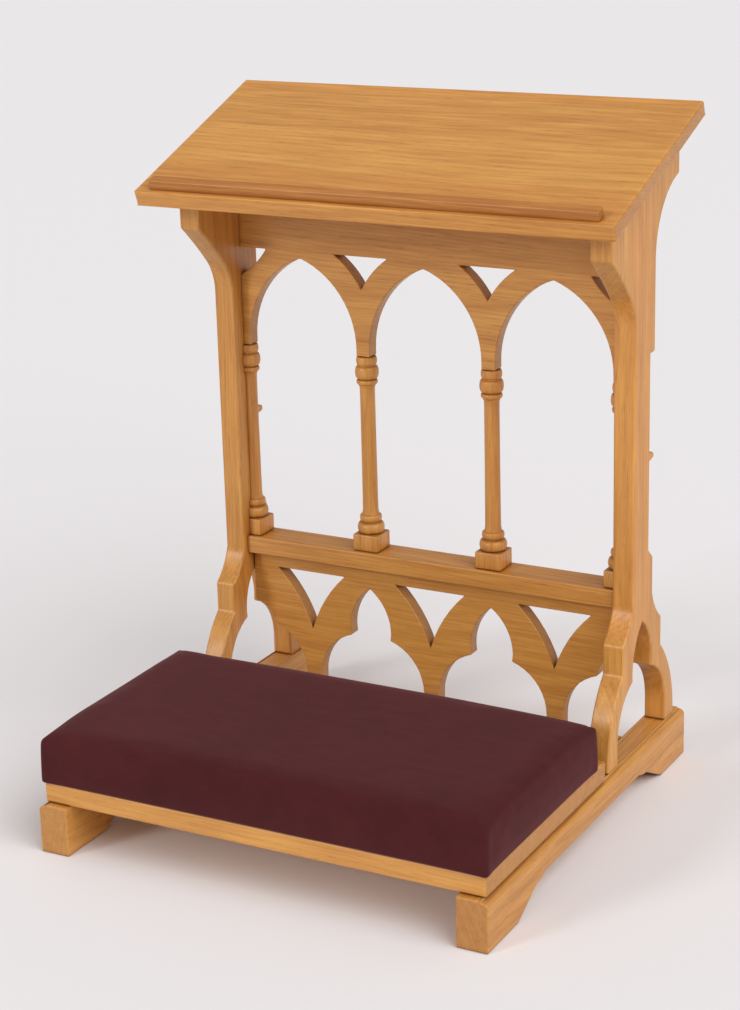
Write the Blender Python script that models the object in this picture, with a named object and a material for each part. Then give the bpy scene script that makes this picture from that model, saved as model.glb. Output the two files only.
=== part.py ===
"""Gothic prie-dieu: a padded kneeling bench with a sloping book desk.

Two runners, tied by a stretcher, carry the kneeling platform at the front and two flared
side panels behind it.  Between the panels, from the stretcher up, stand a lower arcade of
trefoils, a mid rail, turned columns and an upper arcade of pointed arches.  The desk board
closes the top.

Metres, +Z up, the kneeler faces -Y.  The origin is on the floor, at the middle of the
footprint.  Every piece is one closed solid; glued faces keep a gap of GAP.
"""
from math import atan2, copysign, cos, pi, radians, sin, tan

import bmesh
import bpy
from mathutils import Matrix, Vector

GAP = 0.0003

# Runners: sledge feet that carry everything
RUNNER_LENGTH = 0.576
RUNNER_HEIGHT = 0.061
RUNNER_THICKNESS = 0.038
RUNNER_OUTER = 0.2875
FOOT_LENGTH = 0.077
FOOT_RISE = 0.030
FOOT_SLOPE = radians(26.5)
FOOT_FILLET = 0.055
MOULDING_WIDTH = 0.009
MOULDING_QUIRK = 0.0017
MOULDING_DROP = 0.0085

# Kneeling platform and its cushion
PLATFORM_HALF_WIDTH = 0.2823
PLATFORM_SETBACK = 0.008
PLATFORM_DEPTH = 0.324
PLATFORM_THICKNESS = 0.025
CUSHION_HALF_WIDTH = 0.2845
CUSHION_DEPTH = 0.298
CUSHION_HEIGHT = 0.0655
CUSHION_CORNER = 0.008
CUSHION_OVERHANG = 0.002
CUSHION_CROWN_INSET = 0.011
CUSHION_BASE_INSET = 0.012
CUSHION_BASE_THICKNESS = 0.009

# Side panels, symmetrical about the line of the columns
COLUMN_LINE = 0.163
PANEL_INNER = 0.2528
PANEL_THICKNESS = 0.027
LEG_OUTER = 0.1045
LEG_INNER = 0.075
SHOULDER_HALF = 0.0598
WAIST_HALF = 0.0305
TIP_HALF = 0.101
RECESS_HALF = 0.017
NIB_HALF = 0.030
PANEL_ARCH_APEX = 0.218

# Rails and arcades between the panels
BAY = 2 * PANEL_INNER / 3
RAIL_HALF_DEPTH = 0.0225
RAIL_THICKNESS = 0.0225
STRETCHER_TOP = 0.0607
STRETCHER_BOTTOM = 0.034
MID_RAIL_TOP = 0.260
ARCADE_THICKNESS = 0.019
ARCH_HALF = 0.075
ARCH_SPRING = 0.518
ARCH_APEX = 0.624
PENDANT_BOTTOM = 0.5085
SPANDREL_TOP = 0.6325
SPANDREL_TIP = 0.5925
END_NOTCH_TIP = 0.5985
SPANDREL_HALF = 0.036
SPANDREL_SAGITTA = 0.0032
LOWER_ARCH_APEX = 0.208
LOWER_ARCH_END_APEX = 0.168
LOWER_SPANDREL_TOP = 0.2185
LOWER_SPANDREL_TIP = 0.142
LOWER_SPANDREL_HALF = 0.048
LOWER_SPANDREL_SAGITTA = 0.006
LOBE_HALF = 0.0735
LOBE_SPRING = 0.080
CUSP = (0.0275, 0.142)

# Columns
BLOCK_HALF = 0.0172
BLOCK_TOP = 0.2815
SHAFT_RADIUS = 0.0096
TENON_RADIUS = 0.006
TENON_LENGTH = 0.012
COLUMN_SIDES = 18

# Desk
DESK_SLOPE = radians(20)
DESK_HALF_WIDTH = 0.305
DESK_DEPTH = 0.2845
DESK_THICKNESS = 0.019
DESK_FRONT_Y = 0.005
DESK_FRONT_Z = 0.7237
LEDGE_HALF_WIDTH = 0.286
LEDGE_SETBACK = 0.007
LEDGE_DEPTH = 0.014
LEDGE_HEIGHT = 0.012

CLEAT_SIZE = 0.019
CLEAT_LENGTH = 0.070

# Fixings
DOWEL_RADIUS = 0.004
DOWEL_LENGTH = 0.036
SCREW_RADIUS = 0.0019
SCREW_HEAD_RADIUS = 0.004

SIDES = {"left": -1, "right": 1}
FRONT = -RUNNER_LENGTH / 2
ARCADE_END = PANEL_INNER - GAP

OAK = ((0.56, 0.33, 0.13), 0.38, 0.0)
BEECH = ((0.66, 0.48, 0.30), 0.6, 0.0)
PLYWOOD = ((0.60, 0.45, 0.28), 0.7, 0.0)
VELVET = ((0.11, 0.022, 0.027), 0.9, 0.0)
STEEL = ((0.62, 0.60, 0.55), 0.35, 1.0)


# ---------------------------------------------------------------- materials and objects

def material(name, finish):
    """A Principled material of one colour, roughness and metallic value."""
    colour, roughness, metallic = finish
    found = bpy.data.materials.get(name)
    if found:
        return found
    made = bpy.data.materials.new(name)
    made.use_nodes = True
    shader = made.node_tree.nodes["Principled BSDF"]
    shader.inputs["Base Color"].default_value = (*colour, 1)
    shader.inputs["Roughness"].default_value = roughness
    shader.inputs["Metallic"].default_value = metallic
    return made


def new_object(name, bm, finish_name="oak", finish=OAK):
    """Turn a bmesh into a named object with outward faces."""
    bmesh.ops.recalc_face_normals(bm, faces=bm.faces)
    mesh = bpy.data.meshes.new(name)
    bm.to_mesh(mesh)
    bm.free()
    mesh.shade_smooth()
    mesh.set_sharp_from_angle(angle=radians(30))
    mesh.materials.append(material(finish_name, finish))
    made = bpy.data.objects.new(name, mesh)
    bpy.context.collection.objects.link(made)
    return made


def as_cutter(tool):
    """Hide a tool body from the model; only its Boolean shows."""
    tool.hide_render = True
    tool.display_type = "WIRE"
    return tool


def combine(target, tool, operation="DIFFERENCE"):
    """Add a live Boolean between a piece and a tool body."""
    modifier = target.modifiers.new(tool.name, "BOOLEAN")
    modifier.operation = operation
    modifier.solver = "EXACT"
    modifier.object = as_cutter(tool)


# ---------------------------------------------------------------- outlines

def arc(start, end, sagitta, steps=6):
    """Points of an arc from start to end, both included; a positive sagitta bulges left."""
    start, end = Vector(start), Vector(end)
    chord = end - start
    half = chord.length / 2
    radius = (half * half + sagitta * sagitta) / (2 * abs(sagitta))
    left = Vector((-chord.y, chord.x)).normalized() * (1 if sagitta > 0 else -1)
    centre = (start + end) / 2 + left * (abs(sagitta) - radius)
    first = start - centre
    last = end - centre
    turn = atan2(first.x * last.y - first.y * last.x, first.dot(last))
    points = []
    for step in range(steps + 1):
        angle = turn * step / steps
        c, s = cos(angle), sin(angle)
        points.append((centre.x + c * first.x - s * first.y, centre.y + s * first.x + c * first.y))
    return points


def upright_arc(start, end, steps=8):
    """Points of the arc that leaves start going straight up and leans over to end."""
    lean = start[0] - end[0]
    side = copysign(1, lean)
    rise = end[1] - start[1]
    radius = (lean * lean + rise * rise) / (2 * abs(lean))
    centre = start[0] - side * radius
    sweep = atan2(rise, side * (end[0] - centre))
    points = []
    for step in range(steps + 1):
        angle = sweep * step / steps
        points.append((centre + side * radius * cos(angle), start[1] + radius * sin(angle)))
    return points


def mirrored(points, centre=0.0):
    """The same points mirrored about a vertical line, in reverse order."""
    return [(2 * centre - x, z) for x, z in reversed(points)]


def lower_lobe(base, half=LOBE_HALF, spring=LOBE_SPRING, cusp=CUSP):
    """Right-hand lower lobe of a trefoil-headed opening, from its foot to its cusp."""
    foot = [(half, base)] if base < spring else []
    return foot + upright_arc((half, max(base, spring)), cusp, 9)


def trefoil_half(base, apex, half=LOBE_HALF, spring=LOBE_SPRING, cusp=CUSP):
    """Right-hand half of a trefoil-headed opening, from its foot up to its apex."""
    throat = cusp[0] + 0.001
    head = upright_arc((throat, cusp[1] + 0.010), (0.0, apex), 9)
    return lower_lobe(base, half, spring, cusp) + head


# ---------------------------------------------------------------- solids

def prism(name, outline, holes, place, low, high, finish_name="oak", finish=OAK):
    """Extrude an outline with holes; place(a, b, t) gives the world point of a corner."""
    bm = bmesh.new()
    edges = []
    for loop in [outline, *holes]:
        ring = [bm.verts.new(place(a, b, low)) for a, b in loop]
        for first, second in zip(ring, ring[1:] + ring[:1]):
            edges.append(bm.edges.new((first, second)))
    bmesh.ops.triangle_fill(bm, edges=edges, use_beauty=True)
    offset = Vector(place(0, 0, high)) - Vector(place(0, 0, low))
    extruded = bmesh.ops.extrude_face_region(bm, geom=bm.faces[:])
    moved = [item for item in extruded["geom"] if isinstance(item, bmesh.types.BMVert)]
    bmesh.ops.translate(bm, vec=offset, verts=moved)
    return new_object(name, bm, finish_name, finish)


def across(a, b, t):
    """Outline in Y and Z, extruded along X."""
    return (t, a, b)


def along(a, b, t):
    """Outline in X and Z, extruded along Y."""
    return (a, t, b)


def upward(a, b, t):
    """Outline in X and Y, extruded along Z."""
    return (a, b, t)


def box(name, low, high, finish_name="oak", finish=OAK):
    """An upright box between two corners."""
    outline = [(low[0], low[1]), (high[0], low[1]), (high[0], high[1]), (low[0], high[1])]
    return prism(name, outline, [], upward, low[2], high[2], finish_name, finish)


def turned(name, profile, sides, matrix, finish_name="oak", finish=OAK):
    """Turn a profile of (radius, height) pairs about its own Z axis and place it."""
    bm = bmesh.new()
    rings = []
    for radius, height in profile:
        ring = []
        for side in range(sides):
            angle = 2 * pi * (side + 0.5) / sides
            ring.append(bm.verts.new(matrix @ Vector((radius * cos(angle), radius * sin(angle), height))))
        rings.append(ring)
    for lower, upper in zip(rings, rings[1:]):
        for side in range(sides):
            after = (side + 1) % sides
            bm.faces.new((lower[side], lower[after], upper[after], upper[side]))
    bm.faces.new(list(reversed(rings[0])))
    bm.faces.new(rings[-1])
    return new_object(name, bm, finish_name, finish)


def aim(place, direction):
    """A matrix whose Z axis points along direction from place."""
    return Matrix.Translation(place) @ Vector(direction).to_track_quat("Z", "Y").to_matrix().to_4x4()


# ---------------------------------------------------------------- runners

def runner_outline():
    """Side view of a runner: a bracket foot at each end of a raised middle."""
    bend = FOOT_FILLET * sin(FOOT_SLOPE)
    drop = FOOT_FILLET * (1 - cos(FOOT_SLOPE))
    run = (FOOT_RISE - drop) / tan(FOOT_SLOPE)
    half = RUNNER_LENGTH / 2
    toe = half - FOOT_LENGTH
    curve = arc((toe - run, FOOT_RISE - drop), (toe - run - bend, FOOT_RISE), FOOT_FILLET * (1 - cos(FOOT_SLOPE / 2)))
    rear = [(half, 0), (toe, 0), *curve]
    return rear + mirrored(rear) + [(-half, RUNNER_HEIGHT), (half, RUNNER_HEIGHT)]


def runner_moulding(side):
    """Tool body that routs the quirk and ovolo along a runner's outer top edge."""
    inner = RUNNER_OUTER - MOULDING_WIDTH
    shoulder = RUNNER_HEIGHT - MOULDING_QUIRK
    ovolo = arc((inner + 0.001, shoulder), (RUNNER_OUTER + 0.0003, RUNNER_HEIGHT - MOULDING_DROP), 0.0022, 5)
    outline = [(inner, RUNNER_HEIGHT + 0.002), (inner, shoulder), *ovolo]
    outline += [(RUNNER_OUTER + 0.004, RUNNER_HEIGHT - MOULDING_DROP), (RUNNER_OUTER + 0.004, RUNNER_HEIGHT + 0.002)]
    outline = [(side * x, z) for x, z in outline]
    reach = RUNNER_LENGTH / 2 + 0.01
    return prism(f"moulding_tool_{side}", outline, [], along, -reach, reach)


def make_runner(name, side):
    inner = RUNNER_OUTER - RUNNER_THICKNESS
    runner = prism(name, runner_outline(), [], across, side * inner, side * RUNNER_OUTER)
    combine(runner, runner_moulding(side))
    return runner


# ---------------------------------------------------------------- side panels

def desk_underside(y):
    """Height of the desk board's underside above a place on the Y axis."""
    top = DESK_FRONT_Z + (y - DESK_FRONT_Y) * tan(DESK_SLOPE)
    return top - DESK_THICKNESS / cos(DESK_SLOPE)


def panel_foot_to_waist():
    """Outer edge of a panel, as (distance from the column line, height), foot to waist."""
    foot = [(LEG_OUTER, RUNNER_HEIGHT + GAP)]
    leg = upright_arc((LEG_OUTER, 0.068), (SHOULDER_HALF, 0.1685), 12)
    cove = arc((SHOULDER_HALF, 0.2055), (WAIST_HALF, 0.2455), 0.0042)
    return foot + leg + cove


def panel_front_edge():
    """Front edge of a panel: a plain waist that sweeps out into a nearly straight flare."""
    knee = (WAIST_HALF + 0.0182, 0.6218)
    sweep = upright_arc((WAIST_HALF, 0.578), knee)
    flare = arc(knee, (TIP_HALF, 0.671), 0.0012, 5)
    return panel_foot_to_waist() + sweep + flare[1:]


def panel_rear_edge():
    """Rear edge of a panel: a recessed waist with a nib at its middle, then a flare."""
    recess = [(WAIST_HALF, 0.291), (RECESS_HALF, 0.303)]
    nib = [(RECESS_HALF, 0.411), (NIB_HALF, 0.4135), (NIB_HALF, 0.4205), (RECESS_HALF, 0.423)]
    lip = [(RECESS_HALF, 0.541), (WAIST_HALF, 0.5415)]
    flare = upright_arc((WAIST_HALF, 0.648), (TIP_HALF, 0.737), 12)
    return panel_foot_to_waist() + recess + nib + lip + flare


def panel_outline():
    """Outline of a side panel in Y and Z, its trefoil opening running out at the foot."""
    front = [(COLUMN_LINE - d, z) for d, z in panel_front_edge()]
    rear = [(COLUMN_LINE + d, z) for d, z in panel_rear_edge()]
    front_top = (front[-1][0], desk_underside(front[-1][0]) - GAP)
    rear_top = (rear[-1][0], desk_underside(rear[-1][0]) - GAP)
    foot = RUNNER_HEIGHT + GAP
    opening = trefoil_half(foot, PANEL_ARCH_APEX, LEG_INNER, 0.088, (0.0285, 0.151))
    opening = [(COLUMN_LINE + d, z) for d, z in opening]
    return front + [front_top, rear_top] + rear[::-1] + opening + mirrored(opening, COLUMN_LINE)[1:]


def make_panel(name, side):
    outer = PANEL_INNER + PANEL_THICKNESS
    return prism(name, panel_outline(), [], across, side * PANEL_INNER, side * outer)


# ---------------------------------------------------------------- rails and arcades

def make_mid_rail():
    low = (-ARCADE_END, COLUMN_LINE - RAIL_HALF_DEPTH, MID_RAIL_TOP - RAIL_THICKNESS)
    high = (ARCADE_END, COLUMN_LINE + RAIL_HALF_DEPTH, MID_RAIL_TOP)
    return box("mid_rail", low, high)


def make_stretcher():
    """The rail between the runners that the piers of the lower arcade stand on."""
    half_width = RUNNER_OUTER - RUNNER_THICKNESS - GAP
    low = (-half_width, COLUMN_LINE - ARCADE_THICKNESS / 2, STRETCHER_BOTTOM)
    high = (half_width, COLUMN_LINE + ARCADE_THICKNESS / 2, STRETCHER_TOP)
    return box("rear_stretcher", low, high)


def spandrel(centre, half, top, tip, sagitta):
    """A hanging triangle whose two sides bulge into it, as the arches' backs do."""
    right = arc((centre, tip), (centre + half, top), sagitta)
    left = arc((centre - half, top), (centre, tip), sagitta)
    return right + left[:-1]


def end_notch():
    """Half a spandrel triangle, cut into the arcade's right-hand end."""
    inner = (ARCADE_END - SPANDREL_HALF, SPANDREL_TOP)
    return arc((ARCADE_END, END_NOTCH_TIP), inner, SPANDREL_SAGITTA) + [(ARCADE_END, SPANDREL_TOP)]


def upper_arcade_outline(top):
    """Three pointed arches between pendants, closed by a plain frieze."""
    right_end = [(ARCADE_END, PENDANT_BOTTOM), *end_notch(), (ARCADE_END, top)]
    outline = mirrored(right_end)
    for bay in (-1, 0, 1):
        right = upright_arc((ARCH_HALF, ARCH_SPRING), (0.0, ARCH_APEX), 14)
        right.insert(0, (ARCH_HALF, PENDANT_BOTTOM))
        outline += [(bay * BAY - x, z) for x, z in right]
        outline += [(bay * BAY + x, z) for x, z in reversed(right[:-1])]
    return outline + right_end


def make_upper_arcade():
    """The upper arcade; its top edge is planed to the desk's slope."""
    front = COLUMN_LINE - ARCADE_THICKNESS / 2
    top = desk_underside(front) - GAP
    holes = []
    for centre in (-BAY / 2, BAY / 2):
        holes.append(spandrel(centre, SPANDREL_HALF, SPANDREL_TOP, SPANDREL_TIP, SPANDREL_SAGITTA))
    board = prism("upper_arcade", upper_arcade_outline(top), holes, along, front, front + ARCADE_THICKNESS)
    for vertex in board.data.vertices:
        if vertex.co.z > top - GAP:
            vertex.co.z += (vertex.co.y - front) * tan(DESK_SLOPE)
    return board


def lower_arcade_outline(bottom, top):
    """Two trefoils and, against the panels, two half trefoils with low round heads."""
    trefoil = trefoil_half(bottom, LOWER_ARCH_APEX)
    low_head = upright_arc((CUSP[0], CUSP[1]), (0.0, LOWER_ARCH_END_APEX), 8)
    half_trefoil = lower_lobe(bottom) + low_head[1:-1] + [(GAP, LOWER_ARCH_END_APEX)]
    right_end = [(PANEL_INNER - x, z) for x, z in half_trefoil] + [(ARCADE_END, top)]
    outline = mirrored(right_end)
    for centre in (-BAY / 2, BAY / 2):
        outline += [(centre - x, z) for x, z in trefoil]
        outline += [(centre + x, z) for x, z in reversed(trefoil[:-1])]
    return outline + right_end


def make_lower_arcade():
    bottom = STRETCHER_TOP + GAP
    top = MID_RAIL_TOP - RAIL_THICKNESS - GAP
    front = COLUMN_LINE - ARCADE_THICKNESS / 2
    size = (LOWER_SPANDREL_HALF, LOWER_SPANDREL_TOP, LOWER_SPANDREL_TIP, LOWER_SPANDREL_SAGITTA)
    holes = [spandrel(bay * BAY, *size) for bay in (-1, 0, 1)]
    outline = lower_arcade_outline(bottom, top)
    return prism("lower_arcade", outline, holes, along, front, front + ARCADE_THICKNESS)


# ---------------------------------------------------------------- columns

def bead(inner, outer, low, high, steps=3):
    """Half-round ring of a turned profile, from one neck to the next."""
    points = []
    for step in range(steps + 1):
        angle = pi * step / steps
        points.append((inner + (outer - inner) * sin(angle), low + (high - low) * (1 - cos(angle)) / 2))
    return points


def column_profile(bottom, top):
    """Turned profile from the lower tenon to the upper tenon."""
    base_rings = bead(0.0132, 0.0170, BLOCK_TOP - 0.0005, 0.2955) + bead(0.0112, 0.0138, 0.2970, 0.3060)
    shaft = [(SHAFT_RADIUS + 0.0004, 0.3090), (SHAFT_RADIUS, 0.3300), (SHAFT_RADIUS - 0.0004, 0.4700)]
    capital = bead(0.0112, 0.0132, 0.4725, 0.4800) + bead(0.0122, 0.0147, 0.4815, 0.4965)
    capital += bead(0.0115, 0.0132, 0.4980, PENDANT_BOTTOM - GAP)
    return bottom + base_rings + shaft + capital + top


def make_column(name, x, cut_side=0):
    """A column on its plinth block; cut_side leaves the half on a panel's face."""
    foot = MID_RAIL_TOP + GAP
    if cut_side:
        bottom, top = [(0.012, foot + 0.002)], [(0.006, PENDANT_BOTTOM - GAP)]
    else:
        bottom = [(TENON_RADIUS, foot - TENON_LENGTH), (TENON_RADIUS, foot + 0.004), (0.012, foot + 0.005)]
        top = [(TENON_RADIUS, PENDANT_BOTTOM - GAP), (TENON_RADIUS, PENDANT_BOTTOM + TENON_LENGTH)]
    matrix = Matrix.Translation((x, COLUMN_LINE, 0))
    column = turned(name, column_profile(bottom, top), COLUMN_SIDES, matrix)
    low = (x - BLOCK_HALF, COLUMN_LINE - BLOCK_HALF, foot)
    high = (x + BLOCK_HALF, COLUMN_LINE + BLOCK_HALF, BLOCK_TOP)
    combine(column, box(f"{name}_block", low, high), "UNION")
    if cut_side:
        face = cut_side * ARCADE_END
        reach = cut_side * (PANEL_INNER + 0.05)
        low = (min(face, reach), COLUMN_LINE - 0.03, foot - 0.01)
        high = (max(face, reach), COLUMN_LINE + 0.03, PENDANT_BOTTOM + 0.01)
        combine(column, box(f"{name}_half_tool", low, high))
    return column


# ---------------------------------------------------------------- platform and cushion

def make_platform():
    low = (-PLATFORM_HALF_WIDTH, FRONT + PLATFORM_SETBACK, RUNNER_HEIGHT + GAP)
    high = (PLATFORM_HALF_WIDTH, low[1] + PLATFORM_DEPTH, low[2] + PLATFORM_THICKNESS)
    return box("platform_board", low, high)


def rounded_rectangle(half_x, half_y, radius, centre_y, steps=3):
    """A rectangle with rounded corners, counter-clockwise."""
    points = []
    for turn, (sx, sy) in enumerate(((1, 1), (-1, 1), (-1, -1), (1, -1))):
        for step in range(steps + 1):
            angle = (turn + step / steps) * pi / 2
            x = sx * (half_x - radius) + radius * cos(angle)
            y = sy * (half_y - radius) + radius * sin(angle)
            points.append((x, centre_y + y))
    return points


def make_cushion(floor, centre_y):
    """The upholstered pad: upright sides, rounded shoulders and a shallow crown."""
    half_y = CUSHION_DEPTH / 2
    levels = [(0.0, 0.0), (0.0, 0.047), (0.0012, 0.053), (0.0045, 0.058), (CUSHION_CROWN_INSET, 0.0615)]
    levels.append((0.060, CUSHION_HEIGHT))
    bm = bmesh.new()
    rings = []
    for inset, height in levels:
        radius = max(CUSHION_CORNER - inset * 0.3, 0.004)
        outline = rounded_rectangle(CUSHION_HALF_WIDTH - inset, half_y - inset, radius, centre_y)
        rings.append([bm.verts.new((x, y, floor + height)) for x, y in outline])
    for lower, upper in zip(rings, rings[1:]):
        for corner in range(len(lower)):
            after = (corner + 1) % len(lower)
            bm.faces.new((lower[corner], lower[after], upper[after], upper[corner]))
    bm.faces.new(rings[0])
    bm.faces.new(rings[-1])
    cushion = new_object("cushion_pad", bm, "velvet", VELVET)
    pocket_x = CUSHION_HALF_WIDTH - CUSHION_BASE_INSET + GAP
    pocket_y = half_y - CUSHION_BASE_INSET + GAP
    low = (-pocket_x, centre_y - pocket_y, floor - 0.01)
    high = (pocket_x, centre_y + pocket_y, floor + CUSHION_BASE_THICKNESS + 2 * GAP)
    combine(cushion, box("cushion_pocket_tool", low, high))
    return cushion


def make_cushion_base(floor, centre_y):
    half_x = CUSHION_HALF_WIDTH - CUSHION_BASE_INSET
    half_y = CUSHION_DEPTH / 2 - CUSHION_BASE_INSET
    low = (-half_x, centre_y - half_y, floor)
    high = (half_x, centre_y + half_y, floor + CUSHION_BASE_THICKNESS)
    return box("cushion_base", low, high, "plywood", PLYWOOD)


# ---------------------------------------------------------------- desk

def desk_point(x, up_slope, above):
    """World point from a place on the desk's top face: along X, up the slope, above it."""
    y = DESK_FRONT_Y + up_slope * cos(DESK_SLOPE) - above * sin(DESK_SLOPE)
    z = DESK_FRONT_Z + up_slope * sin(DESK_SLOPE) + above * cos(DESK_SLOPE)
    return (x, y, z)


def desk_slab(name, half_width, near, far, low, high):
    """A board parallel to the desk's top face."""
    def place(a, b, t):
        return desk_point(t, a, b)
    outline = [(near, low), (far, low), (far, high), (near, high)]
    return prism(name, outline, [], place, -half_width, half_width)


def make_desk():
    desk_slab("desk_board", DESK_HALF_WIDTH, 0.0, DESK_DEPTH, -DESK_THICKNESS, 0.0)
    far = LEDGE_SETBACK + LEDGE_DEPTH
    desk_slab("book_ledge", LEDGE_HALF_WIDTH, LEDGE_SETBACK, far, GAP, LEDGE_HEIGHT)


def cleat_start():
    """Distance up the desk's slope at which the cleats begin, behind the upper arcade."""
    return (COLUMN_LINE + 0.020 - DESK_FRONT_Y) / cos(DESK_SLOPE)


def make_cleat(name, side):
    """A strip behind the frieze that ties a panel's inner face to the desk board."""
    near = cleat_start()
    far = near + CLEAT_LENGTH
    outer = side * ARCADE_END
    inner = side * (ARCADE_END - CLEAT_SIZE)

    def place(a, b, t):
        return desk_point(t, a, b)
    high = -DESK_THICKNESS - GAP
    low = high - CLEAT_SIZE
    outline = [(near, low), (far, low), (far, high), (near, high)]
    return prism(name, outline, [], place, outer, inner)


# ---------------------------------------------------------------- fixings

def dowel(name, place, direction, hosts, length=DOWEL_LENGTH):
    """A fluted-dowel blank centred on place, with its hole bored in every host."""
    half = length / 2
    tip = 0.0012
    matrix = aim(place, direction)
    profile = [(DOWEL_RADIUS - tip, -half), (DOWEL_RADIUS, tip - half), (DOWEL_RADIUS, half - tip)]
    profile.append((DOWEL_RADIUS - tip, half))
    turned(name, profile, 12, matrix, "beech", BEECH)
    wall = DOWEL_RADIUS + GAP
    bore = turned(f"{name}_bore", [(wall, -half - GAP), (wall, half + GAP)], 12, matrix)
    for host in hosts:
        combine(host, bore)


def screw(name, head, direction, length, hosts):
    """A countersunk screw whose head is flush at head, with its hole in every host."""
    matrix = aim(head, direction)
    depth = SCREW_HEAD_RADIUS - SCREW_RADIUS
    profile = [(SCREW_HEAD_RADIUS, GAP), (SCREW_RADIUS, depth + GAP), (SCREW_RADIUS, length - 0.003)]
    profile.append((0.0006, length))
    turned(name, profile, 10, matrix, "zinc", STEEL)
    wall = SCREW_RADIUS + GAP
    sink = [(SCREW_HEAD_RADIUS + GAP + 0.003, -0.003), (wall, depth), (wall, length + GAP)]
    bore = turned(f"{name}_bore", sink, 10, matrix)
    for host in hosts:
        combine(host, bore)


def column_bore(name, x, level, host):
    """Blind hole for a column's round tenon."""
    wall = TENON_RADIUS + GAP
    depth = TENON_LENGTH + 2 * GAP
    matrix = Matrix.Translation((x, COLUMN_LINE, level))
    combine(host, turned(name, [(wall, -depth), (wall, depth)], 16, matrix))


# ---------------------------------------------------------------- assembly

def clear_scene():
    for found in list(bpy.data.objects):
        bpy.data.objects.remove(found, do_unlink=True)


def dowel_frame(side, sign, pieces):
    """Dowels at one side: panel legs, mid rail, stretcher and upper arcade."""
    leg_middle = (LEG_OUTER + LEG_INNER) / 2
    panel_middle = PANEL_INNER + PANEL_THICKNESS / 2
    panel = pieces[f"side_panel_{side}"]
    runner = pieces[f"runner_{side}"]
    for row, way in {"front": -1, "rear": 1}.items():
        for number, shift in enumerate((-0.008, 0.008), 1):
            y = COLUMN_LINE + way * (leg_middle + shift)
            place = (sign * panel_middle, y, RUNNER_HEIGHT + GAP / 2)
            dowel(f"leg_dowel_{side}_{row}_{number}", place, (0, 0, 1), (runner, panel))
        place = (sign * (PANEL_INNER - GAP / 2), COLUMN_LINE + way * 0.012, MID_RAIL_TOP - RAIL_THICKNESS / 2)
        dowel(f"mid_rail_dowel_{side}_{row}", place, (1, 0, 0), (pieces["mid_rail"], panel))
    for number, height in enumerate((0.655, 0.725), 1):
        place = (sign * (PANEL_INNER - GAP / 2), COLUMN_LINE, height)
        dowel(f"arcade_dowel_{side}_{number}", place, (1, 0, 0), (pieces["upper_arcade"], panel))
    end = RUNNER_OUTER - RUNNER_THICKNESS - GAP / 2
    place = (sign * end, COLUMN_LINE, (STRETCHER_BOTTOM + STRETCHER_TOP) / 2)
    dowel(f"stretcher_dowel_{side}", place, (1, 0, 0), (pieces["rear_stretcher"], runner))


def screw_side(side, sign, pieces, platform_top, cushion_y):
    """Screws at one side: platform to runner, cushion from below, cleat to desk."""
    for row, y in {"front": 0.045, "rear": 0.285}.items():
        head = (sign * (RUNNER_OUTER - RUNNER_THICKNESS / 2), FRONT + y, platform_top)
        hosts = (pieces["platform_board"], pieces[f"runner_{side}"])
        screw(f"platform_screw_{side}_{row}", head, (0, 0, -1), 0.045, hosts)
    for row, shift in {"front": -0.100, "rear": 0.100}.items():
        head = (sign * 0.200, cushion_y + shift, RUNNER_HEIGHT + GAP)
        hosts = (pieces["platform_board"], pieces["cushion_base"])
        screw(f"cushion_screw_{side}_{row}", head, (0, 0, 1), 0.032, hosts)
    for row, shift in {"front": 0.018, "rear": 0.052}.items():
        under = -DESK_THICKNESS - GAP - CLEAT_SIZE
        head = desk_point(sign * (ARCADE_END - CLEAT_SIZE / 2), cleat_start() + shift, under)
        upwards = (0, -sin(DESK_SLOPE), cos(DESK_SLOPE))
        hosts = (pieces[f"desk_cleat_{side}"], pieces["desk_board"])
        screw(f"desk_screw_{side}_{row}", head, upwards, 0.032, hosts)


def build():
    clear_scene()
    for side, sign in SIDES.items():
        make_runner(f"runner_{side}", sign)
        make_panel(f"side_panel_{side}", sign)
        make_column(f"column_{side}", sign * BAY / 2)
        make_column(f"half_column_{side}", sign * PANEL_INNER, sign)
        make_cleat(f"desk_cleat_{side}", sign)
    make_stretcher()
    make_mid_rail()
    make_upper_arcade()
    make_lower_arcade()
    make_platform()
    make_desk()
    platform_top = RUNNER_HEIGHT + GAP + PLATFORM_THICKNESS
    cushion_y = FRONT + PLATFORM_SETBACK - CUSHION_OVERHANG + CUSHION_DEPTH / 2
    make_cushion(platform_top + GAP, cushion_y)
    make_cushion_base(platform_top + GAP, cushion_y)

    pieces = bpy.data.objects
    for side, sign in SIDES.items():
        x = sign * BAY / 2
        column_bore(f"rail_tenon_bore_{side}", x, MID_RAIL_TOP, pieces["mid_rail"])
        column_bore(f"pendant_tenon_bore_{side}", x, PENDANT_BOTTOM, pieces["upper_arcade"])
        dowel_frame(side, sign, pieces)
        screw_side(side, sign, pieces, platform_top, cushion_y)
    for place, bay in {"left": -1, "middle": 0, "right": 1}.items():
        middle = (bay * BAY, COLUMN_LINE, STRETCHER_TOP + GAP / 2)
        dowel(f"pier_dowel_{place}", middle, (0, 0, 1), (pieces["rear_stretcher"], pieces["lower_arcade"]))
        head = desk_point(bay * 0.240, LEDGE_SETBACK + LEDGE_DEPTH / 2, -DESK_THICKNESS)
        upwards = (0, -sin(DESK_SLOPE), cos(DESK_SLOPE))
        screw(f"ledge_screw_{place}", head, upwards, 0.028, (pieces["desk_board"], pieces["book_ledge"]))


build()
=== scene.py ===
"""Looks of the Gothic prie-dieu: rounded arrises, turned columns, a velvet pad and oak.

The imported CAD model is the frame.  Every board is its CAD solid with softened arrises,
the columns are turned again with fine beads, and the pad is shaped here and then swells a
little in a cloth simulation.
Metres, +Z up, the kneeler faces -Y.
"""
from math import cos, pi, radians, sin

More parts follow.
